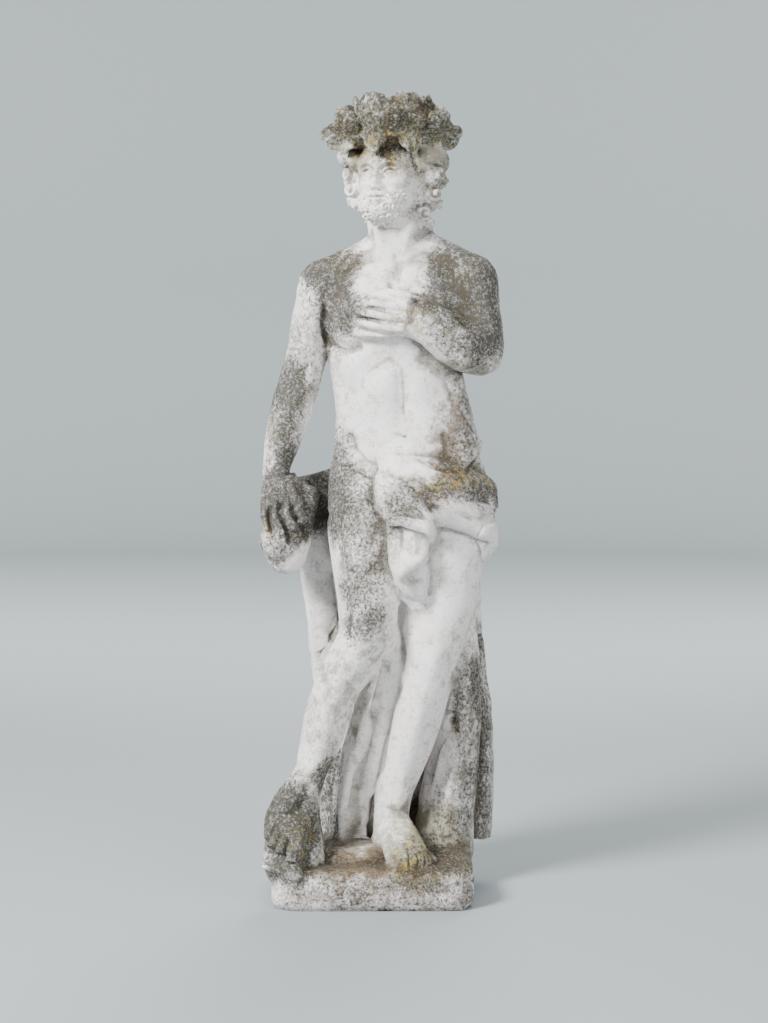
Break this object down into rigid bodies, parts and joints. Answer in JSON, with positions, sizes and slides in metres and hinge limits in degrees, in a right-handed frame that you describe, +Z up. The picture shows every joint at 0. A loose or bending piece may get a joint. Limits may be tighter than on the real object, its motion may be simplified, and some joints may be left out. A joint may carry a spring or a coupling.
{
  "type": "carved stone male figure",
  "caption": "Weathered stone figure of a bearded man in a leaf crown, with a hip cloth and a long cloak, carved in one with its low base.",
  "frame": {"origin": "middle of the flat underside of the base", "axes": "+Z up, the figure looks along -Y, +X to the right of somebody who faces it"},
  "size_m": [0.3573, 0.2516, 1.1527],
  "materials": {
    "weathered_stone": "matt, weathered, with lichen and moss"
  },
  "bodies": {
    "root": {"carved_figure": "weathered_stone"}
  },
  "joints": []
}
